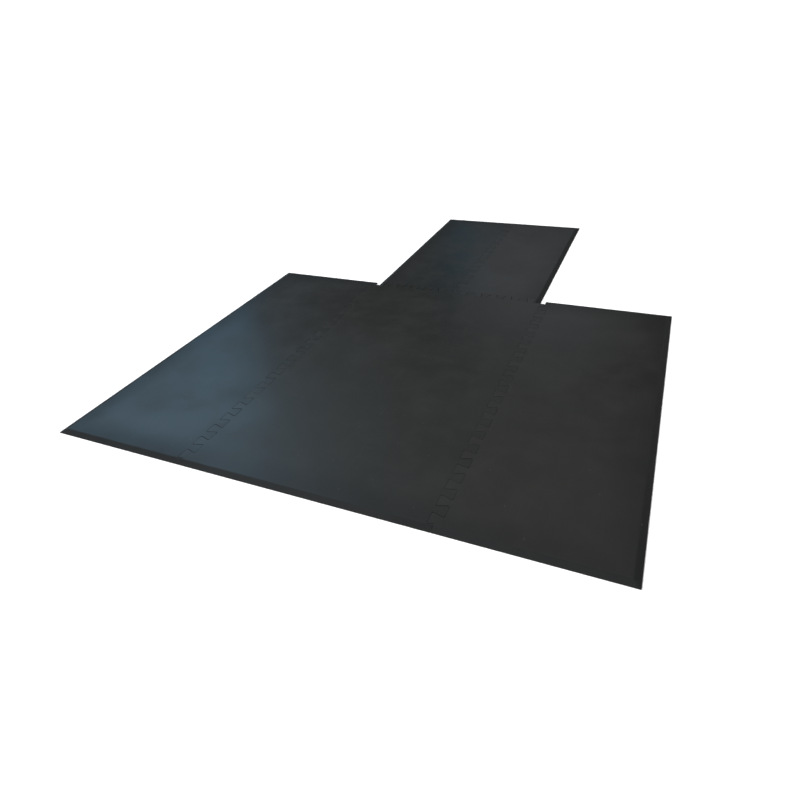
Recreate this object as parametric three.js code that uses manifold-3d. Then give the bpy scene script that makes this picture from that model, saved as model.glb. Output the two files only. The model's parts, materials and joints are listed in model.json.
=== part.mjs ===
// Interlocking rubber gym floor mat: five one-piece panels joined by dovetail-toothed seams.
// Three long panels lie side by side as the front row, and two short ones make the extension
// behind the middle panel. Every outer edge slopes down to a thin lip.
// Millimetres. X runs across the front row, Y from the front edge to the back, Z up.
// The origin is on the floor, at the middle of the whole mat.

import * as THREE from 'three';
import { mergeVertices } from 'three/addons/utils/BufferGeometryUtils.js';
import Module from 'manifold-3d';

// Driving dimensions of the mat.
const MAT_WIDTH = 2440;
const ROW_DEPTH = 1920;
const TOTAL_DEPTH = 3280;
const SIDE_WIDTH = 675;
const EXTENSION_WIDTH = 1030;
const THICKNESS = 12;
const RAMP_RUN = 27;
const LIP_HEIGHT = 2.5;

// Driving dimensions of the dovetail teeth, which are the same on every seam.
const TOOTH_PITCH = 92;
const TOOTH_DEPTH = 50;
const TOOTH_HEAD = 61;
const TOOTH_CORNER_RADIUS = 6;
const CORNER_STEPS = 2;
const JOINT_GAP = 0.6;
const SIDE_FLANKS = 40;
const SIDE_FRONT_LEAD = 35;
const REAR_FLANKS = 22;
const MIDDLE_FLANKS = 28;

// Places that follow from them.
const CLEARANCE = JOINT_GAP / 2;
const HALF_TOOTH = TOOTH_DEPTH / 2;
const TOOTH_NECK = TOOTH_PITCH - TOOTH_HEAD;
const FLANK_LEAN = (TOOTH_HEAD - TOOTH_NECK) / (2 * TOOTH_DEPTH);
const FLANK_SPACING = TOOTH_PITCH / 2;
const HALF_WIDTH = MAT_WIDTH / 2;
const HALF_DEPTH = TOTAL_DEPTH / 2;
const HALF_EXTENSION = EXTENSION_WIDTH / 2;
const ROW_BACK_Y = ROW_DEPTH - HALF_DEPTH;
const REAR_SEAM_Y = ROW_BACK_Y - HALF_TOOTH;
const REAR_ROOT_Y = REAR_SEAM_Y - HALF_TOOTH;
const SIDE_SEAM_X = HALF_WIDTH - SIDE_WIDTH;

// The outlines are drawn with touching seams and then drawn in by the clearance, so their
// outer edges start that much too far out.
const DRAWN_HALF_WIDTH = HALF_WIDTH + CLEARANCE;
const DRAWN_HALF_DEPTH = HALF_DEPTH + CLEARANCE;
const DRAWN_ROW_BACK = ROW_BACK_Y + CLEARANCE;
const DRAWN_HALF_EXTENSION = HALF_EXTENSION + CLEARANCE;

const RUBBER = { color: 0x2c2d2f, roughness: 0.55, metalness: 0 };

const UP = new THREE.Vector3(0, 0, 1);
const RIGHTWARDS = new THREE.Vector3(1, 0, 0);
const LEFTWARDS = new THREE.Vector3(-1, 0, 0);
const BACKWARDS = new THREE.Vector3(0, 1, 0);
const FORWARDS = new THREE.Vector3(0, -1, 0);

const wasm = await Module();
wasm.setup();

// --- Solids ---------------------------------------------------------------------------------

function toManifold(geometry) {
  const bare = geometry.clone();
  bare.deleteAttribute('normal');
  bare.deleteAttribute('uv');
  const merged = mergeVertices(bare);
  const mesh = new wasm.Mesh({
    numProp: 3,
    vertProperties: merged.attributes.position.array,
    triVerts: new Uint32Array(merged.index.array),
  });
  return new wasm.Manifold(mesh);
}

function toGeometry(solid) {
  const mesh = solid.getMesh();
  const geometry = new THREE.BufferGeometry();
  geometry.setAttribute('position', new THREE.BufferAttribute(mesh.vertProperties, 3));
  geometry.setIndex(new THREE.BufferAttribute(mesh.triVerts, 1));
  geometry.computeVertexNormals();
  return geometry;
}

// --- Seams ----------------------------------------------------------------------------------

// An outline is a list of corners, each a point with the radius that rounds it.
function corner(x, y, radius = 0) {
  return { point: new THREE.Vector2(x, y), radius };
}

// How far the line lies to one side before the first flank, between flanks, and after the last.
function toothLevels(flanks, firstTooth, ends) {
  const levels = [ends];
  for (let flank = 1; flank < flanks; flank += 1) {
    levels.push(flank % 2 === 1 ? firstTooth : -firstTooth);
  }
  levels.push(ends);
  return levels;
}

// The corners of a toothed line along +X. Its flanks lean back under the teeth, so each tooth
// is wider at its head than at its neck, and the two panels can only part by lifting.
function toothedLine(firstFlank, levels) {
  const corners = [];
  for (let flank = 0; flank + 1 < levels.length; flank += 1) {
    const middle = firstFlank + flank * FLANK_SPACING;
    const before = levels[flank];
    const after = levels[flank + 1];
    const foot = middle + FLANK_LEAN * Math.abs(before);
    const head = middle - FLANK_LEAN * Math.abs(after);
    corners.push(corner(foot, before, TOOTH_CORNER_RADIUS));
    corners.push(corner(head, after, TOOTH_CORNER_RADIUS));
  }
  return corners;
}

// A seam that runs backwards along Y, with a straight lead at each end.
function lengthwaysSeam(seamX, firstFlankY, flanks) {
  const line = toothedLine(firstFlankY, toothLevels(flanks, -HALF_TOOTH, 0));
  return line.map(({ point, radius }) => corner(seamX + point.y, point.x, radius));
}

function sideSeam(seamX) {
  return lengthwaysSeam(seamX, SIDE_FRONT_LEAD - HALF_DEPTH, SIDE_FLANKS);
}

function middleSeam() {
  const toothedLength = (MIDDLE_FLANKS - 1) * FLANK_SPACING;
  const lead = (HALF_DEPTH - ROW_BACK_Y - toothedLength) / 2;
  return lengthwaysSeam(0, ROW_BACK_Y + lead, MIDDLE_FLANKS);
}

// The seam between the middle panel and the extension, from left to right.
function rearSeam() {
  const firstFlank = -(REAR_FLANKS - 1) * FLANK_SPACING / 2;
  const line = toothedLine(firstFlank, toothLevels(REAR_FLANKS, HALF_TOOTH, -HALF_TOOTH));
  return line.map(({ point, radius }) => corner(point.x, REAR_SEAM_Y + point.y, radius));
}

// --- Outlines, all anticlockwise ------------------------------------------------------------

function leftPanelOutline() {
  return [
    corner(-DRAWN_HALF_WIDTH, -DRAWN_HALF_DEPTH),
    corner(-SIDE_SEAM_X, -DRAWN_HALF_DEPTH),
    ...sideSeam(-SIDE_SEAM_X),
    corner(-SIDE_SEAM_X, DRAWN_ROW_BACK),
    corner(-DRAWN_HALF_WIDTH, DRAWN_ROW_BACK),
  ];
}

function centrePanelOutline() {
  return [
    corner(-SIDE_SEAM_X, -DRAWN_HALF_DEPTH),
    corner(SIDE_SEAM_X, -DRAWN_HALF_DEPTH),
    ...sideSeam(SIDE_SEAM_X),
    corner(SIDE_SEAM_X, REAR_ROOT_Y),
    ...rearSeam().reverse(),
    corner(-SIDE_SEAM_X, REAR_ROOT_Y),
    ...sideSeam(-SIDE_SEAM_X).reverse(),
  ];
}

function rightPanelOutline() {
  return [
    corner(SIDE_SEAM_X, -DRAWN_HALF_DEPTH),
    corner(DRAWN_HALF_WIDTH, -DRAWN_HALF_DEPTH),
    corner(DRAWN_HALF_WIDTH, DRAWN_ROW_BACK),
    corner(SIDE_SEAM_X, DRAWN_ROW_BACK),
    ...sideSeam(SIDE_SEAM_X).reverse(),
  ];
}

function extensionLeftOutline() {
  return [
    corner(-DRAWN_HALF_EXTENSION, REAR_ROOT_Y),
    ...rearSeam().filter(({ point }) => point.x < 0),
    corner(0, ROW_BACK_Y),
    ...middleSeam(),
    corner(0, DRAWN_HALF_DEPTH),
    corner(-DRAWN_HALF_EXTENSION, DRAWN_HALF_DEPTH),
  ];
}

function extensionRightOutline() {
  return [
    corner(0, ROW_BACK_Y),
    ...rearSeam().filter(({ point }) => point.x > 0),
    corner(DRAWN_HALF_EXTENSION, REAR_ROOT_Y),
    corner(DRAWN_HALF_EXTENSION, DRAWN_HALF_DEPTH),
    corner(0, DRAWN_HALF_DEPTH),
    ...middleSeam().reverse(),
  ];
}

function inwardNormal(from, to) {
  const along = to.clone().sub(from).normalize();
  return new THREE.Vector2(-along.y, along.x);
}

// Moves every edge of an outline inwards by the clearance.
function drawnIn(outline) {
  return outline.map(({ point, radius }, index) => {
    const previous = outline.at(index - 1).point;
    const next = outline[(index + 1) % outline.length].point;
    const normalBefore = inwardNormal(previous, point);
    const normalAfter = inwardNormal(point, next);
    const reach = CLEARANCE / (1 + normalBefore.dot(normalAfter));
    const moved = point.clone();
    moved.addScaledVector(normalBefore, reach);
    moved.addScaledVector(normalAfter, reach);
    return { point: moved, radius };
  });
}

// The points of one corner: the corner itself, or an arc that touches both of its edges.
function cornerPoints(previous, { point, radius }, next) {
  if (radius === 0) {
    return [point];
  }
  const back = previous.point.clone().sub(point).normalize();
  const ahead = next.point.clone().sub(point).normalize();
  const halfAngle = Math.acos(back.dot(ahead)) / 2;
  const toCentre = back.clone().add(ahead).normalize();
  const centre = point.clone().addScaledVector(toCentre, radius / Math.sin(halfAngle));
  const tangentLength = radius / Math.tan(halfAngle);
  const start = point.clone().addScaledVector(back, tangentLength);
  const turn = Math.sign(ahead.cross(back)) * (Math.PI - 2 * halfAngle);
  const arc = [];
  for (let step = 0; step <= CORNER_STEPS; step += 1) {
    arc.push(start.clone().rotateAround(centre, turn * step / CORNER_STEPS));
  }
  return arc;
}

function panelShape(outline) {
  const corners = drawnIn(outline);
  const points = corners.flatMap((middle, index) => {
    const next = corners[(index + 1) % corners.length];
    return cornerPoints(corners.at(index - 1), middle, next);
  });
  return new THREE.Shape(points);
}

// --- Panels ---------------------------------------------------------------------------------

// A long wedge that planes an outer edge down to its lip. `inwards` points into the mat, and
// the edge lies `reach` from the origin on the other side.
function rampCutter(inwards, reach) {
  const slope = (THICKNESS - LIP_HEIGHT) / RAMP_RUN;
  const overcut = THICKNESS;
  const profile = new THREE.Shape([
    new THREE.Vector2(-overcut, LIP_HEIGHT - slope * overcut),
    new THREE.Vector2(RAMP_RUN + overcut, THICKNESS + slope * overcut),
    new THREE.Vector2(-overcut, THICKNESS + slope * overcut),
  ]);
  const length = 2 * TOTAL_DEPTH;
  const wedge = new THREE.ExtrudeGeometry(profile, { depth: length, bevelEnabled: false });
  const along = new THREE.Vector3().crossVectors(inwards, UP);
  const start = new THREE.Vector3().addScaledVector(inwards, -reach);
  start.addScaledVector(along, -length / 2);
  const placement = new THREE.Matrix4().makeBasis(inwards, UP, along).setPosition(start);
  return toManifold(wedge.applyMatrix4(placement));
}

// One moulded panel, with a ramp along each of its outer edges.
function panel(name, outline, ramps) {
  const settings = { depth: THICKNESS, bevelEnabled: false };
  const slab = toManifold(new THREE.ExtrudeGeometry(panelShape(outline), settings));
  const solid = ramps.reduce((rest, ramp) => rest.subtract(rampCutter(...ramp)), slab);
  const mesh = new THREE.Mesh(toGeometry(solid), new THREE.MeshStandardMaterial(RUBBER));
  mesh.name = name;
  return mesh;
}

const frontRamp = [BACKWARDS, HALF_DEPTH];
const rowBackRamp = [FORWARDS, ROW_BACK_Y];
const backRamp = [FORWARDS, HALF_DEPTH];

const mat = new THREE.Group();
mat.name = 'gym_floor_mat';
mat.add(
  panel('left_panel', leftPanelOutline(), [frontRamp, rowBackRamp, [RIGHTWARDS, HALF_WIDTH]]),
  panel('centre_panel', centrePanelOutline(), [frontRamp]),
  panel('right_panel', rightPanelOutline(), [frontRamp, rowBackRamp, [LEFTWARDS, HALF_WIDTH]]),
  panel('extension_left', extensionLeftOutline(), [backRamp, [RIGHTWARDS, HALF_EXTENSION]]),
  panel('extension_right', extensionRightOutline(), [backRamp, [LEFTWARDS, HALF_EXTENSION]]),
);

export default mat;
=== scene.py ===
"""Looks of the interlocking rubber gym floor mat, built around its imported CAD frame.

Metres, +Z up, +Y from the front row towards the extension. Each CAD panel is replaced by one
moulded sheet with the same outline, with rounded edges, soft ramps and a face that is never
quite flat.
"""

import json
import math

import bpy
import numpy as np
from mathutils import Euler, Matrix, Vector
from mathutils.geometry import delaunay_2d_cdt


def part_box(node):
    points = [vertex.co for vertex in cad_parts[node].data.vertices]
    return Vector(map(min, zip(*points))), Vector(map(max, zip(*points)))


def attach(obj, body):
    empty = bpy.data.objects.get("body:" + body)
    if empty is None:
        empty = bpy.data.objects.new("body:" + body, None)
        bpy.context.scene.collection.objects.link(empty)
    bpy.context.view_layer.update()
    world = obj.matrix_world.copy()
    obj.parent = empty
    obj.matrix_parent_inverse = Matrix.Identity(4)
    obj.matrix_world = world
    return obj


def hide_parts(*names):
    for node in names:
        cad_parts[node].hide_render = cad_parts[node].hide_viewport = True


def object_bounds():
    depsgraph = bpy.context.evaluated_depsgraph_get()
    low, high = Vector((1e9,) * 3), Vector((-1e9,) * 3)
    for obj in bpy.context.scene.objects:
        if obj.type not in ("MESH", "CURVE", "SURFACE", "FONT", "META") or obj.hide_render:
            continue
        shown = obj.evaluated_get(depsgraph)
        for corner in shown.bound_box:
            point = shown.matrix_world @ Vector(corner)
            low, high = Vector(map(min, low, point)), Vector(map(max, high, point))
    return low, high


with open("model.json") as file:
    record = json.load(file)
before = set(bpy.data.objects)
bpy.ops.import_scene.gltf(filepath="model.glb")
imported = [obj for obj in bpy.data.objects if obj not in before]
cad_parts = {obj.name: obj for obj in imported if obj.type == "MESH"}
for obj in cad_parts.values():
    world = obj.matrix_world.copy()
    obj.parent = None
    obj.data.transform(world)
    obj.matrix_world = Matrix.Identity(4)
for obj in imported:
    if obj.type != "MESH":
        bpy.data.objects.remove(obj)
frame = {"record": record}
cad_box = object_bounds()

MM = 0.001

# The teeth of every seam, as they are cut.
TOOTH_PITCH = 92 * MM
TOOTH_DEPTH = 50 * MM
TOOTH_HEAD = 61 * MM
TOOTH_CORNER = 6 * MM
TOOTH_CORNER_STEPS = 6
JOINT_GAP = 0.6 * MM
SIDE_FLANKS = 40
SIDE_FRONT_LEAD = 35 * MM
REAR_FLANKS = 22
MIDDLE_FLANKS = 28
# How much a tooth may be cut too narrow on each flank, and how little of a gap heads keep.
LOOSE_FIT = 1.2 * MM
HEAD_CLEARANCE = 0.18 * MM

# The moulded edges.
RAMP_RUN = 27 * MM
LIP_HEIGHT = 2.5 * MM
CREASE_SOFTNESS = 1.6 * MM
SHOULDER_RUN = 95 * MM
SHOULDER_DROP = 2 * MM
EDGE_RADIUS = 0.6 * MM
EDGE_STEPS = 3
EDGE_SUPPORT = 0.6 * MM
PANEL_CORNER = 3 * MM
PANEL_CORNER_STEPS = 5

# How finely the sheets are divided, and how far from flat they lie.
OUTLINE_STEP = 14 * MM
GRID_STEP = 20 * MM
GRID_CLEARANCE = 5 * MM
RAMP_LINES = [9 * MM, 16 * MM, 21 * MM, 24 * MM, 27 * MM, 30 * MM, 34 * MM, 40 * MM]
WAVE_HEIGHT = 0.8 * MM
WAVE_SIZE = 240 * MM
# A place or a distance far past any edge, for where there is no ramp or no rounding.
NO_RAMP = 10.0
# The triangulation keeps the triangles inside the outline, to this tolerance.
INSIDE_ONLY = 1
PLAN_TOLERANCE = 1e-7
# Points closer than this become one point.
WELD_DISTANCE = 0.01 * MM
# A face whose normal points further down than this is part of the underside.
UNDERSIDE_NORMAL = -0.9

# Places read from the frame.
LOW, HIGH = cad_box
THICKNESS = HIGH.z
ROW_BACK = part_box("left_panel")[1].y
REAR_SEAM = ROW_BACK - TOOTH_DEPTH / 2
REAR_ROOT = ROW_BACK - TOOTH_DEPTH
SIDE_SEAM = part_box("centre_panel")[1].x - TOOTH_DEPTH / 2 + JOINT_GAP / 2
EXTENSION_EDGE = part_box("extension_right")[1].x


# --- Nodes ----------------------------------------------------------------------------------


def add(tree, kind, inputs=None, **settings):
    """Adds one node. An input is a value, an output, or a node for its first live output."""
    made = tree.nodes.new(kind)
    for name, value in settings.items():
        setattr(made, name, value)
    for socket, value in (inputs or {}).items():
        if isinstance(value, bpy.types.Node):
            value = next(output for output in value.outputs if output.enabled)
        if isinstance(value, bpy.types.NodeSocket):
            tree.links.new(value, made.inputs[socket])
        else:
            made.inputs[socket].default_value = value
    return made


def geometry_tree(name, sizes=(), counts=(), materials=()):
    """A geometry node tree with named inputs, and the outputs of its input node by name."""
    tree = bpy.data.node_groups.new(name, "GeometryNodeTree")
    tree.interface.new_socket("Geometry", in_out="OUTPUT", socket_type="NodeSocketGeometry")
    tree.interface.new_socket("Geometry", in_out="INPUT", socket_type="NodeSocketGeometry")
    for kind, labels in (("Float", sizes), ("Int", counts), ("Material", materials)):
        for label in labels:
            tree.interface.new_socket(label, in_out="INPUT", socket_type="NodeSocket" + kind)
    return tree, add(tree, "NodeGroupInput").outputs


def grown_mesh(tree, source, values):
    """The plain mesh that a tree grows from a source mesh with the given inputs."""
    carrier = bpy.data.objects.new("carrier", source)
    bpy.context.scene.collection.objects.link(carrier)
    modifier = carrier.modifiers.new("grow", "NODES")
    modifier.node_group = tree
    for item in tree.interface.items_tree:
        if item.in_out == "INPUT" and item.name in values:
            modifier[item.identifier] = values[item.name]
    evaluated = carrier.evaluated_get(bpy.context.evaluated_depsgraph_get())
    mesh = bpy.data.meshes.new_from_object(evaluated)
    bpy.data.objects.remove(carrier)
    return mesh


# --- The toothed seams ----------------------------------------------------------------------


def toothed_seam_tree():
    """A line along X that steps from side to side of the seam at each flank of its teeth.

    The flanks lean back under the teeth, so a tooth is wider at its head than at its neck, and
    the corners are rounded. `End Level` is how far over the line lies before the first flank
    and after the last: 0 on the seam, and -1 or 1 a half tooth to one side. `Loose Fit` moves
    each flank by up to that much, by its own amount, so that the teeth on one side of the line
    get narrower: those that point up the level if it is positive.
    """
    tree, sizes = geometry_tree(
        "toothed seam",
        sizes=("First Flank", "Tooth Pitch", "Tooth Depth", "Tooth Head", "Corner Radius",
               "First Side", "End Level", "Loose Fit"),
        counts=("Flanks", "Corner Steps", "Fit Seed"),
    )
    # Two points a flank: one before it and one after it.
    points = add(tree, "ShaderNodeMath", {0: sizes["Flanks"], 1: 2}, operation="MULTIPLY")
    line = add(tree, "GeometryNodeMeshLine", {"Count": points})
    index = add(tree, "GeometryNodeInputIndex")
    half_index = add(tree, "ShaderNodeMath", {0: index, 1: 2}, operation="DIVIDE")
    flank = add(tree, "ShaderNodeMath", {0: half_index}, operation="FLOOR")
    after = add(tree, "ShaderNodeMath", {0: index, 1: 2}, operation="MODULO")
    # The level alternates with the flanks passed, and is the end level at both ends.
    passed = add(tree, "ShaderNodeMath", {0: flank, 1: after})
    odd = add(tree, "ShaderNodeMath", {0: passed, 1: 2}, operation="MODULO")
    sign = add(tree, "ShaderNodeMath", {0: odd, 1: 2, 2: -1}, operation="MULTIPLY_ADD")
    tooth = add(tree, "ShaderNodeMath", {0: sign, 1: sizes["First Side"]},
                operation="MULTIPLY")
    half_count = add(tree, "ShaderNodeMath", {0: sizes["Flanks"], 1: 2}, operation="DIVIDE")
    middle = add(tree, "ShaderNodeMath", {0: passed, 1: half_count}, operation="SUBTRACT")
    from_middle = add(tree, "ShaderNodeMath", {0: middle}, operation="ABSOLUTE")
    last_full = add(tree, "ShaderNodeMath", {0: half_count, 1: 0.5}, operation="SUBTRACT")
    at_end = add(tree, "ShaderNodeMath", {0: from_middle, 1: last_full},
                 operation="GREATER_THAN")
    level = add(tree, "ShaderNodeMix", {0: at_end, 2: tooth, 3: sizes["End Level"]})
    # Before a flank the point lies further on by the lean, and after it further back.
    twice_head = add(tree, "ShaderNodeMath", {0: sizes["Tooth Head"], 1: 2},
                     operation="MULTIPLY")
    overhang = add(tree, "ShaderNodeMath", {0: twice_head, 1: sizes["Tooth Pitch"]},
                   operation="SUBTRACT")
    lean = add(tree, "ShaderNodeMath", {0: overhang, 1: 4}, operation="DIVIDE")
    reach = add(tree, "ShaderNodeMath", {0: level}, operation="ABSOLUTE")
    shift = add(tree, "ShaderNodeMath", {0: lean, 1: reach}, operation="MULTIPLY")
    way = add(tree, "ShaderNodeMath", {0: after, 1: -2, 2: 1}, operation="MULTIPLY_ADD")
    half_pitch = add(tree, "ShaderNodeMath", {0: sizes["Tooth Pitch"], 1: 2},
                     operation="DIVIDE")
    to_flank = add(tree, "ShaderNodeMath",
                   {0: flank, 1: half_pitch, 2: sizes["First Flank"]},
                   operation="MULTIPLY_ADD")
    leaning = add(tree, "ShaderNodeMath", {0: shift, 1: way, 2: to_flank},
                  operation="MULTIPLY_ADD")
    # Every other flank closes a tooth instead of opening one, so it moves the other way.
    odd_flank = add(tree, "ShaderNodeMath", {0: flank, 1: 2}, operation="MODULO")
    opening = add(tree, "ShaderNodeMath", {0: odd_flank, 1: -2, 2: 1},
                  operation="MULTIPLY_ADD")
    inwards = add(tree, "ShaderNodeMath", {0: opening, 1: sizes["First Side"]},
                  operation="MULTIPLY")
    looseness = add(tree, "FunctionNodeRandomValue",
                    {2: 0.0, 3: sizes["Loose Fit"], "ID": flank, "Seed": sizes["Fit Seed"]})
    along = add(tree, "ShaderNodeMath", {0: looseness.outputs[1], 1: inwards, 2: leaning},
                operation="MULTIPLY_ADD")
    half_depth = add(tree, "ShaderNodeMath", {0: sizes["Tooth Depth"], 1: 2},
                     operation="DIVIDE")
    across = add(tree, "ShaderNodeMath", {0: level, 1: half_depth}, operation="MULTIPLY")
    place = add(tree, "ShaderNodeCombineXYZ", {"X": along, "Y": across})
    sharp = add(tree, "GeometryNodeSetPosition", {"Geometry": line, "Position": place})
    curve = add(tree, "GeometryNodeMeshToCurve", {"Mesh": sharp})
    rounded = add(tree, "GeometryNodeFilletCurve",
                  {"Curve": curve, "Count": sizes["Corner Steps"],
                   "Radius": sizes["Corner Radius"]}, mode="POLY")
    seam = add(tree, "GeometryNodeCurveToMesh", {"Curve": rounded})
    add(tree, "NodeGroupOutput", {"Geometry": seam})
    return tree


def seam_line(tree, first_flank, flanks, first_side, end_level, pointing, seed):
    """The points (along, across) of one seam, as cut on one of its two panels.

    `pointing` is 1 for the panel whose teeth point across the seam, and -1 for the other.
    """
    mesh = grown_mesh(tree, bpy.data.meshes.new("seam"), {
        "First Flank": first_flank,
        "Tooth Pitch": TOOTH_PITCH,
        "Tooth Depth": TOOTH_DEPTH,
        "Tooth Head": TOOTH_HEAD,
        "Corner Radius": TOOTH_CORNER,
        "First Side": first_side,
        "End Level": end_level,
        "Loose Fit": LOOSE_FIT * pointing,
        "Flanks": flanks,
        "Corner Steps": TOOTH_CORNER_STEPS,
        "Fit Seed": seed,
    })
    return np.array([vertex.co[:2] for vertex in mesh.vertices], float)


def seams():
    """The seams as points (x, y), by name and by which way the panel's teeth point."""
    tree = toothed_seam_tree()
    side_start = LOW.y + SIDE_FRONT_LEAD
    rear_start = -(REAR_FLANKS - 1) * TOOTH_PITCH / 4
    middle_start = (ROW_BACK + HIGH.y) / 2 - (MIDDLE_FLANKS - 1) * TOOTH_PITCH / 4
    cut = {}
    for seed, pointing in enumerate((1, -1)):
        left = seam_line(tree, side_start, SIDE_FLANKS, -1.0, 0.0, pointing, seed)
        right = seam_line(tree, side_start, SIDE_FLANKS, -1.0, 0.0, pointing, seed + 2)
        rear = seam_line(tree, rear_start, REAR_FLANKS, 1.0, -1.0, pointing, seed + 4)
        middle = seam_line(tree, middle_start, MIDDLE_FLANKS, -1.0, 0.0, pointing, seed + 6)
        cut["left", pointing] = left[:, ::-1] - (SIDE_SEAM, 0)
        cut["right", pointing] = right[:, ::-1] + (SIDE_SEAM, 0)
        cut["rear", pointing] = rear + (0, REAR_SEAM)
        cut["middle", pointing] = middle[:, ::-1]
    return cut


# --- Outlines, all anticlockwise ------------------------------------------------------------


def corner(x, y):
    return np.array([[x, y]])


def unit(vector):
    return vector / np.linalg.norm(vector)


def square_corner_arc(before, at, after):
    """The points that round a square corner."""
    back = unit(before - at) * PANEL_CORNER
    ahead = unit(after - at) * PANEL_CORNER
    turn = np.linspace(0, math.pi / 2, PANEL_CORNER_STEPS)[:, None]
    return at + back + ahead - ahead * np.cos(turn) - back * np.sin(turn)


def closed_outline(runs):
    """Joins seam lines and single corners into one loop of evenly divided points."""
    loop = []
    for index, run in enumerate(runs):
        if len(run) == 1:
            after = runs[(index + 1) % len(runs)][0]
            run = square_corner_arc(runs[index - 1][-1], run[0], after)
        loop.extend(run)
    divided = []
    for start, end in zip(loop, loop[1:] + loop[:1]):
        pieces = max(1, math.ceil(np.linalg.norm(end - start) / OUTLINE_STEP))
        divided.extend(start + (end - start) * step / pieces for step in range(pieces))
    return np.array(divided)


def inset(loop, distance):
    """Moves every edge of an anticlockwise loop inwards."""
    ahead = np.roll(loop, -1, axis=0) - loop
    ahead /= np.linalg.norm(ahead, axis=1)[:, None]
    normal_after = np.stack([-ahead[:, 1], ahead[:, 0]], axis=1)
    normal_before = np.roll(normal_after, 1, axis=0)
    facing = 1 + (normal_before * normal_after).sum(axis=1)[:, None]
    return loop + distance * (normal_before + normal_after) / facing


def panel_outlines():
    """Each panel's outline, drawn with touching heads and then drawn in by their clearance."""
    seam = seams()
    clearance = HEAD_CLEARANCE
    left, right = LOW.x - clearance, HIGH.x + clearance
    front, back = LOW.y - clearance, HIGH.y + clearance
    row_back = ROW_BACK + clearance
    extension = EXTENSION_EDGE + clearance
    rear_left = seam["rear", -1][seam["rear", -1][:, 0] < 0]
    rear_right = seam["rear", -1][seam["rear", -1][:, 0] > 0]
    runs = {
        "left_panel": [
            corner(left, front), corner(-SIDE_SEAM, front), seam["left", 1],
            corner(-SIDE_SEAM, row_back), corner(left, row_back),
        ],
        "centre_panel": [
            corner(-SIDE_SEAM, front), corner(SIDE_SEAM, front), seam["right", 1],
            corner(SIDE_SEAM, REAR_ROOT), seam["rear", 1][::-1],
            corner(-SIDE_SEAM, REAR_ROOT), seam["left", -1][::-1],
        ],
        "right_panel": [
            corner(SIDE_SEAM, front), corner(right, front), corner(right, row_back),
            corner(SIDE_SEAM, row_back), seam["right", -1][::-1],
        ],
        "extension_left": [
            corner(-extension, REAR_ROOT), rear_left, corner(0, ROW_BACK), seam["middle", 1],
            corner(0, back), corner(-extension, back),
        ],
        "extension_right": [
            corner(0, ROW_BACK), rear_right, corner(extension, REAR_ROOT),
            corner(extension, back), corner(0, back), seam["middle", -1][::-1],
        ],
    }
    return {name: inset(closed_outline(parts), clearance) for name, parts in runs.items()}


# --- The flat plan of a panel ---------------------------------------------------------------


def grid_lines(low, high, ramp_at_low, ramp_at_high):
    """Even grid lines from low to high, with closer ones where a ramp meets the face."""
    count = round((high - low) / GRID_STEP)
    even = np.linspace(low, high, count + 1)
    close = [low + line for line in RAMP_LINES if ramp_at_low]
    close += [high - line for line in RAMP_LINES if ramp_at_high]
    if not close:
        return even
    gap = np.abs(even[:, None] - np.array(close)).min(axis=1)
    return np.sort(np.concatenate([even[gap > GRID_CLEARANCE], close]))


def inside_and_clear(points, loop, clearance):
    """Which points lie inside a loop and at least `clearance` from its edges."""
    start, end = loop, np.roll(loop, -1, axis=0)
    along = end - start
    keep = np.zeros(len(points), bool)
    for row, (x, y) in enumerate(points):
        rel = (x, y) - start
        share = np.clip((rel * along).sum(axis=1) / (along ** 2).sum(axis=1), 0, 1)
        gap = np.linalg.norm(rel - along * share[:, None], axis=1).min()
        spans = (start[:, 1] > y) != (end[:, 1] > y)
        rise = (y - start[spans, 1]) / along[spans, 1]
        crossings = (start[spans, 0] + along[spans, 0] * rise > x).sum()
        keep[row] = gap > clearance and crossings % 2 == 1
    return points[keep]


def flat_plan(name, outline, ramps):
    """The panel seen from above, as a flat mesh.

    Close rings of quads follow the outline, where the edge is rounded, and triangles on a
    grid fill the rest. `edge_distance` keeps how far in each point is.
    """
    turns = [math.pi / 2 * step / EDGE_STEPS for step in range(EDGE_STEPS + 1)]
    distances = [EDGE_RADIUS * (1 - math.cos(turn)) for turn in turns]
    distances.append(EDGE_RADIUS + EDGE_SUPPORT)
    rings = [inset(outline, distance) for distance in distances]
    inner = rings[-1]
    low, high = outline.min(axis=0), outline.max(axis=0)
    across = grid_lines(low[0], high[0], "left" in ramps, "right" in ramps)
    along = grid_lines(low[1], high[1], "front" in ramps, "back" in ramps)
    crossings = np.stack(np.meshgrid(across, along), axis=-1).reshape(-1, 2)
    grid = inside_and_clear(crossings, inner, GRID_CLEARANCE)
    points = [Vector(point) for point in np.concatenate([inner, grid])]
    filled = delaunay_2d_cdt(points, [], [list(range(len(inner)))], INSIDE_ONLY, PLAN_TOLERANCE)
    filled_points, _, triangles, sources = filled[:4]

    count = len(outline)
    ring_points = np.concatenate(rings[:-1])
    offset = len(ring_points)
    places = np.concatenate([ring_points, np.array([tuple(point) for point in filled_points])])
    # Where each point of the innermost ring ended up in the filled part.
    landed = {source: offset + row for row, found in enumerate(sources) for source in found}
    numbers = [list(range(ring * count, (ring + 1) * count)) for ring in range(len(rings) - 1)]
    numbers.append([landed[point] for point in range(count)])
    faces = [[offset + point for point in triangle] for triangle in triangles]
    for outer, within in zip(numbers, numbers[1:]):
        for point in range(count):
            following = (point + 1) % count
            faces.append([outer[point], outer[following], within[following], within[point]])

    mesh = bpy.data.meshes.new(name + "_plan")
    mesh.from_pydata([(x, y, 0.0) for x, y in places], [], faces)
    edge_distance = np.full(len(places), NO_RAMP)
    for distance, ring in zip(distances, numbers):
        edge_distance[ring] = distance
    attribute = mesh.attributes.new("edge_distance", "FLOAT", "POINT")
    attribute.data.foreach_set("value", edge_distance.astype(np.float32))
    return mesh


# --- The moulded sheet ----------------------------------------------------------------------


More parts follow.
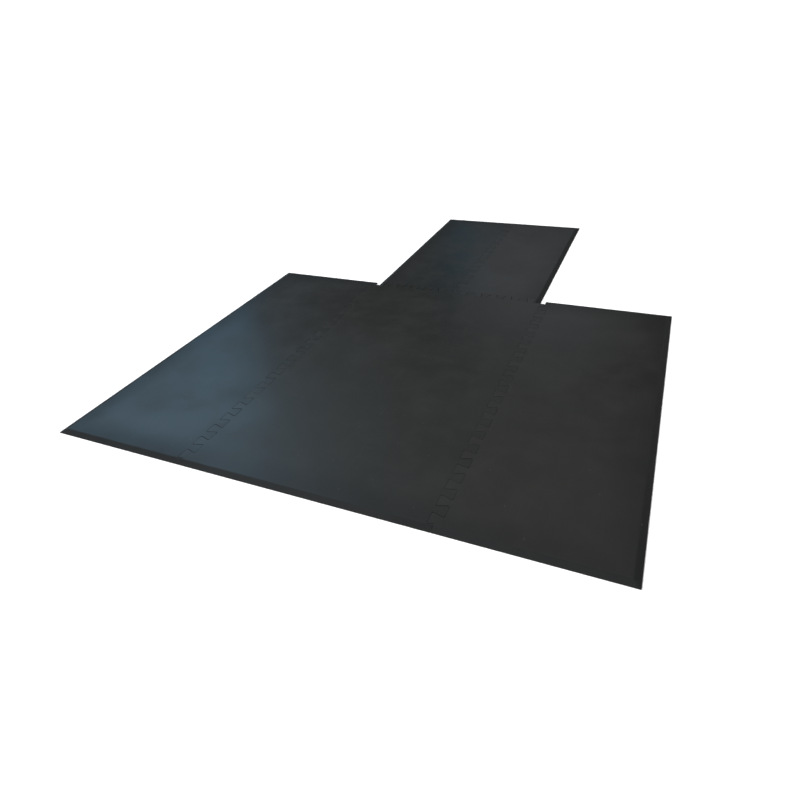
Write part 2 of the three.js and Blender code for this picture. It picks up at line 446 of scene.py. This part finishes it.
def moulded_sheet_tree():
    """Gives a flat plan its thickness, ramps, sunken shoulders, rounded edges and waves."""
    tree, sizes = geometry_tree(
        "moulded sheet",
        sizes=("Thickness", "Lip Height", "Ramp Run", "Crease Softness", "Edge Radius",
               "Shoulder Run", "Shoulder Drop",
               "Left Ramp", "Right Ramp", "Front Ramp", "Back Ramp",
               "Wave Height", "Wave Size", "Wave Seed", "Sheet Number"),
        materials=("Face Material", "Underside Material", "Cut Material"),
    )
    plan = sizes["Geometry"]
    position = add(tree, "GeometryNodeInputPosition")
    place = add(tree, "ShaderNodeSeparateXYZ", {0: position}).outputs
    # How far inside the nearest ramped edge a point is.
    from_left = add(tree, "ShaderNodeMath", {0: place["X"], 1: sizes["Left Ramp"]},
                    operation="SUBTRACT")
    from_right = add(tree, "ShaderNodeMath", {0: sizes["Right Ramp"], 1: place["X"]},
                     operation="SUBTRACT")
    from_front = add(tree, "ShaderNodeMath", {0: place["Y"], 1: sizes["Front Ramp"]},
                     operation="SUBTRACT")
    from_back = add(tree, "ShaderNodeMath", {0: sizes["Back Ramp"], 1: place["Y"]},
                    operation="SUBTRACT")
    sideways = add(tree, "ShaderNodeMath", {0: from_left, 1: from_right}, operation="MINIMUM")
    endways = add(tree, "ShaderNodeMath", {0: from_front, 1: from_back}, operation="MINIMUM")
    inside = add(tree, "ShaderNodeMath", {0: sideways, 1: endways}, operation="MINIMUM")
    # The ramp rises from the lip and runs softly into the flat face.
    rise = add(tree, "ShaderNodeMath", {0: sizes["Thickness"], 1: sizes["Lip Height"]},
               operation="SUBTRACT")
    slope = add(tree, "ShaderNodeMath", {0: rise, 1: sizes["Ramp Run"]}, operation="DIVIDE")
    ramp = add(tree, "ShaderNodeMath", {0: inside, 1: slope, 2: sizes["Lip Height"]},
               operation="MULTIPLY_ADD")
    # Inside the ramps the face sinks a little, because the rubber shrinks as it cures.
    nearness = add(tree, "ShaderNodeMapRange",
                   {"Value": inside, "From Max": sizes["Shoulder Run"],
                    "To Min": 1.0, "To Max": 0.0})
    eased = add(tree, "ShaderNodeMath", {0: nearness.outputs[0], 1: 2}, operation="POWER")
    sinking = add(tree, "ShaderNodeMath", {0: eased, 1: sizes["Shoulder Drop"]},
                  operation="MULTIPLY")
    level = add(tree, "ShaderNodeMath", {0: sizes["Thickness"], 1: sinking},
                operation="SUBTRACT")
    body = add(tree, "ShaderNodeMath",
               {0: ramp, 1: level, 2: sizes["Crease Softness"]}, operation="SMOOTH_MIN")
    # Slight waves in the face, which die out towards the ramps.
    wave_scale = add(tree, "ShaderNodeMath", {0: 1, 1: sizes["Wave Size"]},
                     operation="DIVIDE")
    noise = add(tree, "ShaderNodeTexNoise",
                {"Vector": position, "W": sizes["Wave Seed"], "Scale": wave_scale,
                 "Detail": 2.0}, noise_dimensions="4D")
    calm = add(tree, "ShaderNodeMath", {0: sizes["Ramp Run"], 1: 3}, operation="MULTIPLY")
    freedom = add(tree, "ShaderNodeMapRange",
                  {"Value": inside, "From Min": sizes["Ramp Run"], "From Max": calm,
                   "To Min": 0.0, "To Max": sizes["Wave Height"]})
    wave = add(tree, "ShaderNodeMath", {0: noise, 1: freedom}, operation="MULTIPLY")
    # The rounding of the edges, a quarter circle all round the outline.
    edge_distance = add(tree, "GeometryNodeInputNamedAttribute", {"Name": "edge_distance"},
                        data_type="FLOAT")
    short = add(tree, "ShaderNodeMath", {0: sizes["Edge Radius"], 1: edge_distance},
                operation="SUBTRACT")
    short_of_face = add(tree, "ShaderNodeMath", {0: short, 1: 0}, operation="MAXIMUM")
    radius_squared = add(tree, "ShaderNodeMath", {0: sizes["Edge Radius"], 1: 2},
                         operation="POWER")
    short_squared = add(tree, "ShaderNodeMath", {0: short_of_face, 1: 2}, operation="POWER")
    height_squared = add(tree, "ShaderNodeMath", {0: radius_squared, 1: short_squared},
                         operation="SUBTRACT")
    height = add(tree, "ShaderNodeMath", {0: height_squared}, operation="SQRT")
    drop = add(tree, "ShaderNodeMath", {0: sizes["Edge Radius"], 1: height},
               operation="SUBTRACT")
    # The face, the wall that hangs from its rim, and the underside.
    wavy_face = add(tree, "ShaderNodeMath", {0: body, 1: wave}, operation="SUBTRACT")
    face_height = add(tree, "ShaderNodeMath", {0: wavy_face, 1: drop}, operation="SUBTRACT")
    face_place = add(tree, "ShaderNodeCombineXYZ",
                     {"X": place["X"], "Y": place["Y"], "Z": face_height})
    face = add(tree, "GeometryNodeSetPosition", {"Geometry": plan, "Position": face_place})
    neighbours = add(tree, "GeometryNodeInputMeshEdgeNeighbors")
    rim = add(tree, "FunctionNodeCompare", {2: neighbours, 3: 1}, data_type="INT",
              operation="EQUAL")
    wall = add(tree, "GeometryNodeExtrudeMesh",
               {"Mesh": face, "Selection": rim, "Offset Scale": 0.0}, mode="EDGES")
    foot_place = add(tree, "ShaderNodeCombineXYZ",
                     {"X": place["X"], "Y": place["Y"], "Z": sizes["Edge Radius"]})
    upper = add(tree, "GeometryNodeSetPosition",
                {"Geometry": wall, "Selection": wall.outputs["Top"], "Position": foot_place})
    underside_place = add(tree, "ShaderNodeCombineXYZ",
                          {"X": place["X"], "Y": place["Y"], "Z": drop})
    lower = add(tree, "GeometryNodeSetPosition",
                {"Geometry": plan, "Position": underside_place})
    underside = add(tree, "GeometryNodeFlipFaces", {"Mesh": lower})
    both = add(tree, "GeometryNodeJoinGeometry")
    tree.links.new(upper.outputs[0], both.inputs[0])
    tree.links.new(underside.outputs[0], both.inputs[0])
    welded = add(tree, "GeometryNodeMergeByDistance", {"Geometry": both, "Distance": WELD_DISTANCE})
    numbered = add(tree, "GeometryNodeStoreNamedAttribute",
                   {"Geometry": welded, "Name": "sheet_number",
                    "Value": sizes["Sheet Number"]}, data_type="FLOAT", domain="POINT")
    measured = add(tree, "GeometryNodeStoreNamedAttribute",
                   {"Geometry": numbered, "Name": "from_outer_edge", "Value": inside},
                   data_type="FLOAT", domain="POINT")
    smooth = add(tree, "GeometryNodeSetShadeSmooth", {"Geometry": measured})
    whole = add(tree, "GeometryNodeRealizeInstances", {"Geometry": smooth})
    faced = add(tree, "GeometryNodeSetMaterial",
                {"Geometry": whole, "Material": sizes["Face Material"]})
    normal = add(tree, "ShaderNodeSeparateXYZ", {0: add(tree, "GeometryNodeInputNormal")})
    downwards = add(tree, "ShaderNodeMath", {0: normal.outputs["Z"], 1: UNDERSIDE_NORMAL},
                    operation="LESS_THAN")
    backed = add(tree, "GeometryNodeSetMaterial",
                 {"Geometry": faced, "Selection": downwards,
                  "Material": sizes["Underside Material"]})
    # The walls at the seams are cut, and the low ones outside the ramps are moulded.
    inland = add(tree, "ShaderNodeMath", {0: inside, 1: sizes["Ramp Run"]},
                 operation="GREATER_THAN")
    cut_wall = add(tree, "FunctionNodeBooleanMath", {0: wall.outputs["Side"], 1: inland},
                 operation="AND")
    cut = add(tree, "GeometryNodeSetMaterial",
              {"Geometry": backed, "Selection": cut_wall, "Material": sizes["Cut Material"]})
    add(tree, "NodeGroupOutput", {"Geometry": cut})
    return tree


def panel_ramps():
    """Where each panel slopes down: the side of the panel and the place of its outer edge."""
    return {
        "left_panel": {"left": LOW.x, "front": LOW.y, "back": ROW_BACK},
        "centre_panel": {"front": LOW.y},
        "right_panel": {"right": HIGH.x, "front": LOW.y, "back": ROW_BACK},
        "extension_left": {"left": -EXTENSION_EDGE, "back": HIGH.y},
        "extension_right": {"right": EXTENSION_EDGE, "back": HIGH.y},
    }


def moulded_panels(face, underside, cut):
    """Every panel as one closed sheet that rides on its body and stands for its CAD node."""
    tree = moulded_sheet_tree()
    outlines = panel_outlines()
    body_of = {node: body for body, nodes in frame["record"]["behaviour"]["bodies"].items()
               for node in nodes}
    for number, (node, ramps) in enumerate(panel_ramps().items()):
        plan = flat_plan(node, outlines[node], ramps)
        mesh = grown_mesh(tree, plan, {
            "Thickness": THICKNESS,
            "Lip Height": LIP_HEIGHT,
            "Ramp Run": RAMP_RUN,
            "Crease Softness": CREASE_SOFTNESS,
            "Edge Radius": EDGE_RADIUS,
            "Shoulder Run": SHOULDER_RUN,
            "Shoulder Drop": SHOULDER_DROP,
            "Left Ramp": ramps.get("left", -NO_RAMP),
            "Right Ramp": ramps.get("right", NO_RAMP),
            "Front Ramp": ramps.get("front", -NO_RAMP),
            "Back Ramp": ramps.get("back", NO_RAMP),
            "Wave Height": WAVE_HEIGHT,
            "Wave Size": WAVE_SIZE,
            "Wave Seed": float(number),
            "Sheet Number": float(number),
            "Face Material": face,
            "Underside Material": underside,
            "Cut Material": cut,
        })
        piece = bpy.data.objects.new(node + "_sheet", mesh)
        bpy.context.scene.collection.objects.link(piece)
        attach(piece, body_of[node])
        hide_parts(node)


# --- Finishes -------------------------------------------------------------------------------

RUBBER_IOR = 1.52
# How far the patterns move from one sheet to the next.
SHEET_SHIFT = (3.7, 1.9, 0.8)

# The plate-pressed face: its patterns, and how much each adds to the roughness of the rubber.
WAX_CLOUD = 400 * MM
DUST_CLOUD = 110 * MM
SCUFF_LENGTH = 250 * MM
SCUFF_WIDTH = 8 * MM
SCUFF_TURN = math.radians(20)
CRUMB_CELL = 50 * MM
CRUMBLESS_SHARE = 0.96
BORDER_START = 80 * MM
BORDER_END = 240 * MM
BORDER_RAGGEDNESS = 120 * MM
RAMP_BLEND = 2 * MM
SWELL_SIZE = 30 * MM
SWELL_HEIGHT = 0.06 * MM
GRAIN_SIZE = 3 * MM
GRAIN_HEIGHT = 0.012 * MM
FACE_ROUGHNESS = 0.31
WAX_ROUGHNESS = 0.3
DUST_ROUGHNESS = 0.15
SCUFF_ROUGHNESS = 0.2
BORDER_ROUGHNESS = 0.16
RAMP_ROUGHNESS = 0.3

# The cloth print and the talc on the underside. At a scale of 1 a wave texture repeats every
# 0.314 m.
THREAD_SPACING = 4 * MM
THREAD_HEIGHT = 0.2 * MM
WAVE_REPEAT = 0.314
TALC_CLOUD = 120 * MM
CLOTH_ROUGHNESS = 0.5
THREAD_ROUGHNESS = 0.12

# The lines and the open crumbs in the walls that were cut.
CUT_LINE_SPACING = 1.5 * MM
CUT_LINE_LENGTH = 25 * MM
CUT_CRUMB = 2.2 * MM
CUT_HEIGHT = 0.15 * MM
CUT_ROUGHNESS = 0.5
CUT_LINE_ROUGHNESS = 0.2


def linear(colour):
    """An sRGB hex colour as linear RGBA."""
    channels = [int(colour[place:place + 2], 16) / 255 for place in (1, 3, 5)]
    return [c / 12.92 if c <= 0.04045 else ((c + 0.055) / 1.055) ** 2.4 for c in channels] + [1]


def new_material(name):
    material = bpy.data.materials.new(name)
    material.use_nodes = True
    material.node_tree.nodes.clear()
    return material, material.node_tree


def sheet_coordinates(tree):
    """Object coordinates, shifted from sheet to sheet so that no pattern crosses a seam."""
    number = add(tree, "ShaderNodeAttribute", attribute_name="sheet_number")
    shift = add(tree, "ShaderNodeVectorMath",
                {0: number.outputs["Fac"], 1: SHEET_SHIFT}, operation="MULTIPLY")
    place = add(tree, "ShaderNodeTexCoord").outputs["Object"]
    return add(tree, "ShaderNodeVectorMath", {0: place, 1: shift}, operation="ADD")


def by_sheet(tree, colours):
    """One colour for each sheet, in the order of their numbers."""
    number = add(tree, "ShaderNodeAttribute", attribute_name="sheet_number")
    share = add(tree, "ShaderNodeMath",
                {0: number.outputs["Fac"], 1: 1 / len(colours), 2: 0.5 / len(colours)},
                operation="MULTIPLY_ADD")
    choice = add(tree, "ShaderNodeValToRGB", {0: share})
    stops = choice.color_ramp
    stops.interpolation = "CONSTANT"
    stops.elements[0].color = linear(colours[0])
    stops.elements[1].position = 1 - 1 / len(colours)
    stops.elements[1].color = linear(colours[-1])
    for step in range(1, len(colours) - 1):
        stops.elements.new(step / len(colours)).color = linear(colours[step])
    return choice


def rubber_plate_pressed():
    """Solid rubber pressed against a satin steel plate, near-black with a soft grey sheen.

    Each sheet has its own tone of black, and the left panel and the left extension lean blue:
    a painted reflection of the blue light on that side. Wax that has risen to the face lies on
    it in broad pale clouds, dust lies in smaller ones, shoes have left dull streaks, and a few
    pale crumbs of ground rubber show in it.
    """
    material, tree = new_material("vulcanised rubber, plate pressed")
    place = sheet_coordinates(tree)
    # Each sheet has its own tone; the blue lean of the left panel and the left extension is a
    # painted reflection of the blue light on that side.
    sheet_tone_and_blue_reflection = by_sheet(tree, ("#171919", "#181918", "#1d1d1c", "#151819", "#1b1c1c"))
    # Wax bloom in clouds of about 400 mm, and dust in clouds of about 110 mm.
    wax = add(tree, "ShaderNodeTexNoise",
              {"Vector": place, "Scale": 1 / WAX_CLOUD, "Detail": 3.0, "Roughness": 0.5})
    waxy = add(tree, "ShaderNodeMapRange",
               {"Value": wax, "From Min": 0.42, "From Max": 0.68, "To Max": 0.45})
    dust = add(tree, "ShaderNodeTexNoise",
               {"Vector": place, "Scale": 1 / DUST_CLOUD, "Detail": 5.0, "Roughness": 0.55})
    dusty = add(tree, "ShaderNodeMapRange",
                {"Value": dust, "From Min": 0.45, "From Max": 0.78, "To Max": 0.35})
    # Scuffs about 250 mm long and 8 mm wide, along the mat.
    turned = add(tree, "ShaderNodeMapping",
                 {"Vector": place, "Rotation": (0, 0, SCUFF_TURN),
                  "Scale": (1 / SCUFF_WIDTH, 1 / SCUFF_LENGTH, 1)})
    streaks = add(tree, "ShaderNodeTexNoise",
                  {"Vector": turned, "Scale": 1.0, "Detail": 3.0, "Distortion": 0.6})
    scuffed = add(tree, "ShaderNodeMapRange",
                  {"Value": streaks, "From Min": 0.6, "From Max": 0.78, "To Max": 0.35})
    # Crumbs of about 3 mm, which show in one cell of twenty-five.
    cells = add(tree, "ShaderNodeTexVoronoi", {"Vector": place, "Scale": 1 / CRUMB_CELL},
                voronoi_dimensions="2D")
    near = add(tree, "ShaderNodeMapRange",
               {"Value": cells, "From Min": 0.02, "From Max": 0.045, "To Min": 1.0,
                "To Max": 0.0})
    lot = add(tree, "ShaderNodeSeparateColor", {0: cells.outputs["Color"]})
    chosen = add(tree, "ShaderNodeMath", {0: lot, 1: CRUMBLESS_SHARE},
                 operation="GREATER_THAN")
    crumb = add(tree, "ShaderNodeMath", {0: near, 1: chosen}, operation="MULTIPLY")
    # The outer 150 mm are painted blacker, on some sheets more than on others: painted shade
    # along the edges, where the sheen falls off. They are duller too. The ramps are duller
    # still, and painted a little lighter than the dark band beside them, as painted light.
    edge = add(tree, "ShaderNodeAttribute", attribute_name="from_outer_edge")
    ragged = add(tree, "ShaderNodeMath",
                 {0: wax, 1: BORDER_RAGGEDNESS, 2: edge.outputs["Fac"]},
                 operation="MULTIPLY_ADD")
    outer = add(tree, "ShaderNodeMapRange",
                {"Value": ragged, "From Min": BORDER_START, "From Max": BORDER_END,
                 "To Min": 1.0, "To Max": 0.0}, interpolation_type="SMOOTHSTEP")
    # How strongly each sheet's outer band is painted with shade.
    border_shade_strength = by_sheet(tree, ("#e7e7e7", "#b4b4b4", "#b4b4b4", "#f0f0f0", "#959595"))
    border_shade_and_dullness = add(tree, "ShaderNodeMath", {0: outer, 1: border_shade_strength}, operation="MULTIPLY")
    ramp = add(tree, "ShaderNodeMapRange",
               {"Value": edge.outputs["Fac"], "From Min": RAMP_RUN - RAMP_BLEND,
                "From Max": RAMP_RUN + RAMP_BLEND, "To Min": 1.0, "To Max": 0.0})
    waxed = add(tree, "ShaderNodeMix", {"Factor": waxy, 6: sheet_tone_and_blue_reflection, 7: linear("#222322")},
                data_type="RGBA")
    dusted = add(tree, "ShaderNodeMix", {"Factor": dusty, 6: waxed, 7: linear("#292926")},
                 data_type="RGBA")
    streaked = add(tree, "ShaderNodeMix", {"Factor": scuffed, 6: dusted, 7: linear("#2b2b29")},
                   data_type="RGBA")
    # The outer band is painted towards black: painted shade along the edges.
    edge_shaded_colour = add(tree, "ShaderNodeMix", {"Factor": border_shade_and_dullness, 6: streaked, 7: linear("#101111")},
                   data_type="RGBA")
    # The ramps are painted a little lighter than the dark band: painted light on the slopes.
    slopes_with_painted_light = add(tree, "ShaderNodeMix", {"Factor": ramp, 6: edge_shaded_colour, 7: linear("#1a1b1b")},
                 data_type="RGBA")
    colour = add(tree, "ShaderNodeMix", {"Factor": crumb, 6: slopes_with_painted_light, 7: linear("#4e4e4a")},
                 data_type="RGBA")
    waxen = add(tree, "ShaderNodeMath", {0: waxy, 1: WAX_ROUGHNESS, 2: FACE_ROUGHNESS},
                operation="MULTIPLY_ADD")
    dull = add(tree, "ShaderNodeMath", {0: dusty, 1: DUST_ROUGHNESS, 2: waxen},
               operation="MULTIPLY_ADD")
    duller = add(tree, "ShaderNodeMath", {0: scuffed, 1: SCUFF_ROUGHNESS, 2: dull},
                 operation="MULTIPLY_ADD")
    dullest = add(tree, "ShaderNodeMath", {0: border_shade_and_dullness, 1: BORDER_ROUGHNESS, 2: duller},
                  operation="MULTIPLY_ADD")
    roughness = add(tree, "ShaderNodeMath", {0: ramp, 1: RAMP_ROUGHNESS, 2: dullest},
                    operation="MULTIPLY_ADD")
    # The plate's soft unevenness, about 30 mm across, and its grain. Real grain is 0.3 mm
    # across, and it is drawn ten times as coarse so that it shows from close by.
    uneven = add(tree, "ShaderNodeTexNoise",
                 {"Vector": place, "Scale": 1 / SWELL_SIZE, "Detail": 2.0})
    swell = add(tree, "ShaderNodeBump", {"Height": uneven, "Distance": SWELL_HEIGHT})
    grain = add(tree, "ShaderNodeTexNoise",
                {"Vector": place, "Scale": 1 / GRAIN_SIZE, "Detail": 3.0, "Roughness": 0.6})
    normal = add(tree, "ShaderNodeBump",
                 {"Height": grain, "Distance": GRAIN_HEIGHT, "Normal": swell})
    shader = add(tree, "ShaderNodeBsdfPrincipled",
                 {"Base Color": colour, "Roughness": roughness, "IOR": RUBBER_IOR,
                  "Normal": normal})
    add(tree, "ShaderNodeOutputMaterial", {"Surface": shader})
    return material


def rubber_cloth_backed():
    """The underside, cured against cloth: dull black with a woven print and traces of talc."""
    material, tree = new_material("vulcanised rubber, cloth backed")
    place = sheet_coordinates(tree)
    # Threads 1.2 mm apart, drawn 4 mm apart so that they show.
    spacing = WAVE_REPEAT / THREAD_SPACING
    warp = add(tree, "ShaderNodeTexWave", {"Vector": place, "Scale": spacing},
               bands_direction="X", wave_profile="SIN")
    weft = add(tree, "ShaderNodeTexWave", {"Vector": place, "Scale": spacing},
               bands_direction="Y", wave_profile="SIN")
    weave = add(tree, "ShaderNodeMath",
                {0: warp.outputs["Fac"], 1: weft.outputs["Fac"]}, operation="MULTIPLY")
    clouds = add(tree, "ShaderNodeTexNoise",
                 {"Vector": place, "Scale": 1 / TALC_CLOUD, "Detail": 6.0, "Roughness": 0.6})
    talc = add(tree, "ShaderNodeMapRange",
               {"Value": clouds, "From Min": 0.5, "From Max": 0.75, "To Max": 0.35})
    printed = add(tree, "ShaderNodeMix",
                  {"Factor": weave, 6: linear("#191a1a"), 7: linear("#222323")},
                  data_type="RGBA")
    colour = add(tree, "ShaderNodeMix", {"Factor": talc, 6: printed, 7: linear("#4a4a47")},
                 data_type="RGBA")
    roughness = add(tree, "ShaderNodeMath",
                    {0: weave, 1: THREAD_ROUGHNESS, 2: CLOTH_ROUGHNESS},
                    operation="MULTIPLY_ADD")
    normal = add(tree, "ShaderNodeBump", {"Height": weave, "Distance": THREAD_HEIGHT})
    shader = add(tree, "ShaderNodeBsdfPrincipled",
                 {"Base Color": colour, "Roughness": roughness, "IOR": RUBBER_IOR,
                  "Normal": normal})
    add(tree, "ShaderNodeOutputMaterial", {"Surface": shader})
    return material


def rubber_water_cut():
    """The walls of the teeth, cut by a water jet: matt, with upright lines and open crumbs."""
    material, tree = new_material("vulcanised rubber, water-jet cut")
    place = sheet_coordinates(tree)
    # Lines 1.5 mm apart that run from the face to the underside.
    upright = add(tree, "ShaderNodeMapping",
                  {"Vector": place,
                   "Scale": (1 / CUT_LINE_SPACING, 1 / CUT_LINE_SPACING, 1 / CUT_LINE_LENGTH)})
    lines = add(tree, "ShaderNodeTexNoise", {"Vector": upright, "Scale": 1.0, "Detail": 2.0})
    crumbs = add(tree, "ShaderNodeTexVoronoi", {"Vector": place, "Scale": 1 / CUT_CRUMB})
    rough = add(tree, "ShaderNodeMath", {0: crumbs, 1: 0.5, 2: lines},
                operation="MULTIPLY_ADD")
    colour = add(tree, "ShaderNodeMix",
                 {"Factor": lines, 6: linear("#131414"), 7: linear("#262727")},
                 data_type="RGBA")
    roughness = add(tree, "ShaderNodeMath", {0: lines, 1: CUT_LINE_ROUGHNESS, 2: CUT_ROUGHNESS},
                    operation="MULTIPLY_ADD")
    normal = add(tree, "ShaderNodeBump", {"Height": rough, "Distance": CUT_HEIGHT})
    shader = add(tree, "ShaderNodeBsdfPrincipled",
                 {"Base Color": colour, "Roughness": roughness, "IOR": RUBBER_IOR,
                  "Normal": normal})
    add(tree, "ShaderNodeOutputMaterial", {"Surface": shader})
    return material


# The floor lies a hair below the mat, and reaches past everything that a camera sees.
FLOOR_SIZE = 400
FLOOR_DROP = 0.2 * MM


def studio_floor():
    material, tree = new_material("studio floor, matt white")
    shader = add(tree, "ShaderNodeBsdfPrincipled",
                 {"Base Color": linear("#f7f7f7"), "Roughness": 0.9})
    add(tree, "ShaderNodeOutputMaterial", {"Surface": shader})
    bpy.ops.mesh.primitive_plane_add(size=FLOOR_SIZE)
    floor = bpy.context.object
    floor.name = "studio_floor"
    floor.location.z = -FLOOR_DROP
    floor.data.materials.append(material)


# --- Camera and light -----------------------------------------------------------------------

CAMERA_PLACE = Vector((1.089, -2.952, 1.503))
CAMERA_LENS = 26.67
CAMERA_SENSOR = 36.0
CAMERA_TURN = math.radians(25.36)
CAMERA_TILT = math.radians(33.83)
CAMERA_ROLL = math.radians(4.08)

# The broad light: its strength, how wide it looks, and the way towards it.
BROAD_ENERGY = 5.84
BROAD_SPREAD = math.radians(50)
BROAD_FROM = Vector((-0.8, -0.35, 0.6))

# How bright the room is, by the cosine of the angle from a direction up and a little left.
ROOM_UP = (-0.3, 0.0, 0.954)
ROOM_FLOOR_LEVEL = 0.02
ROOM_LEVELS = ((0.5, 0.02), (0.62, 0.26), (0.7, 0.42), (0.85, 0.24), (1.0, 0.1))
BACKDROP_LEVEL = 1.1


def place_camera():
    data = bpy.data.cameras.new("camera")
    data.lens = CAMERA_LENS
    data.sensor_width = CAMERA_SENSOR
    camera = bpy.data.objects.new("camera", data)
    bpy.context.scene.collection.objects.link(camera)
    aim = Euler((math.pi / 2 - CAMERA_TILT, 0, CAMERA_TURN)).to_quaternion()
    roll = Euler((0, 0, -CAMERA_ROLL)).to_quaternion()
    camera.rotation_euler = (aim @ roll).to_euler()
    camera.location = CAMERA_PLACE
    bpy.context.scene.camera = camera


def soft_panel(name, place, size, aim, power, colour):
    """A rectangular light at `place` that faces the point `aim`."""
    data = bpy.data.lights.new(name, "AREA")
    data.shape = "RECTANGLE"
    data.size, data.size_y = size
    data.energy = power
    data.color = linear(colour)[:3]
    light = bpy.data.objects.new(name, data)
    light.location = place
    light.rotation_euler = (Vector(place) - Vector(aim)).to_track_quat("Z", "Y").to_euler()
    light.visible_camera = False
    bpy.context.scene.collection.objects.link(light)


def studio_light():
    """A broad light from the left, soft panels round the mat, and a dim room above them."""
    data = bpy.data.lights.new("broad_light", "SUN")
    data.energy = BROAD_ENERGY
    data.angle = BROAD_SPREAD
    broad = bpy.data.objects.new("broad_light", data)
    broad.rotation_euler = BROAD_FROM.to_track_quat("Z", "Y").to_euler()
    # It lights the room evenly and is too large to be seen as a reflection.
    broad.visible_glossy = False
    bpy.context.scene.collection.objects.link(broad)
    soft_panel("window_low", place=(-3.84, 0.49, 1.13), size=(3.1, 1.38),
               aim=(0.9, -3.0, 1.13), power=10.0, colour="#80d0ff")
    soft_panel("window_high", place=(-3.84, 0.49, 3.27), size=(3.05, 2.9),
               aim=(0.9, -3.0, 3.27), power=37.0, colour="#a2d9ff")
    soft_panel("curtain", place=(-2.35, 1.98, 3.48), size=(1.58, 2.46),
               aim=(1.1, -2.9, 3.48), power=3.4, colour="#b8e4ee")
    soft_panel("rear_panel", place=(-0.2, 4.43, 1.8), size=(2.0, 1.1),
               aim=(-0.2, 0.0, 1.8), power=2.8, colour="#e8f2ff")
    soft_panel("rear_window", place=(-1.38, 4.43, 1.35), size=(0.5, 0.8),
               aim=(-1.38, 0.0, 1.35), power=0.38, colour="#68ccf4")
    soft_panel("side_panel", place=(5.5, 4.3, 1.9), size=(3.0, 2.4),
               aim=(0.0, 0.0, 0.6), power=24.0, colour="#fff4e6")
    soft_panel("front_panel", place=(2.0, -6.4, 2.0), size=(7.0, 2.6),
               aim=(0.0, 0.0, 0.6), power=24.0, colour="#fff4e6")

    world = bpy.data.worlds.new("studio")
    world.use_nodes = True
    tree = world.node_tree
    tree.nodes.clear()
    # The room is dark low down, brightest halfway up and dimmer overhead.
    towards = add(tree, "ShaderNodeVectorMath",
                  {0: add(tree, "ShaderNodeTexCoord").outputs["Generated"], 1: ROOM_UP},
                  operation="DOT_PRODUCT")
    room = add(tree, "ShaderNodeValToRGB", {0: towards.outputs["Value"]})
    for position, brightness in ROOM_LEVELS:
        stop = room.color_ramp.elements.new(position)
        stop.color = (brightness, brightness, brightness, 1)
    room.color_ramp.elements[0].color = (ROOM_FLOOR_LEVEL,) * 3 + (1,)
    # The backdrop is as white as the floor.
    seen = add(tree, "ShaderNodeLightPath").outputs["Is Camera Ray"]
    backdrop = (BACKDROP_LEVEL,) * 3 + (1,)
    background = add(tree, "ShaderNodeMix", {"Factor": seen, 6: room, 7: backdrop},
                     data_type="RGBA")
    surface = add(tree, "ShaderNodeBackground", {"Color": background})
    add(tree, "ShaderNodeOutputWorld", {"Surface": surface})
    bpy.context.scene.world = world
    bpy.context.scene.view_settings.view_transform = "Standard"


place_camera()
studio_light()
studio_floor()
moulded_panels(rubber_plate_pressed(), rubber_cloth_backed(), rubber_water_cut())
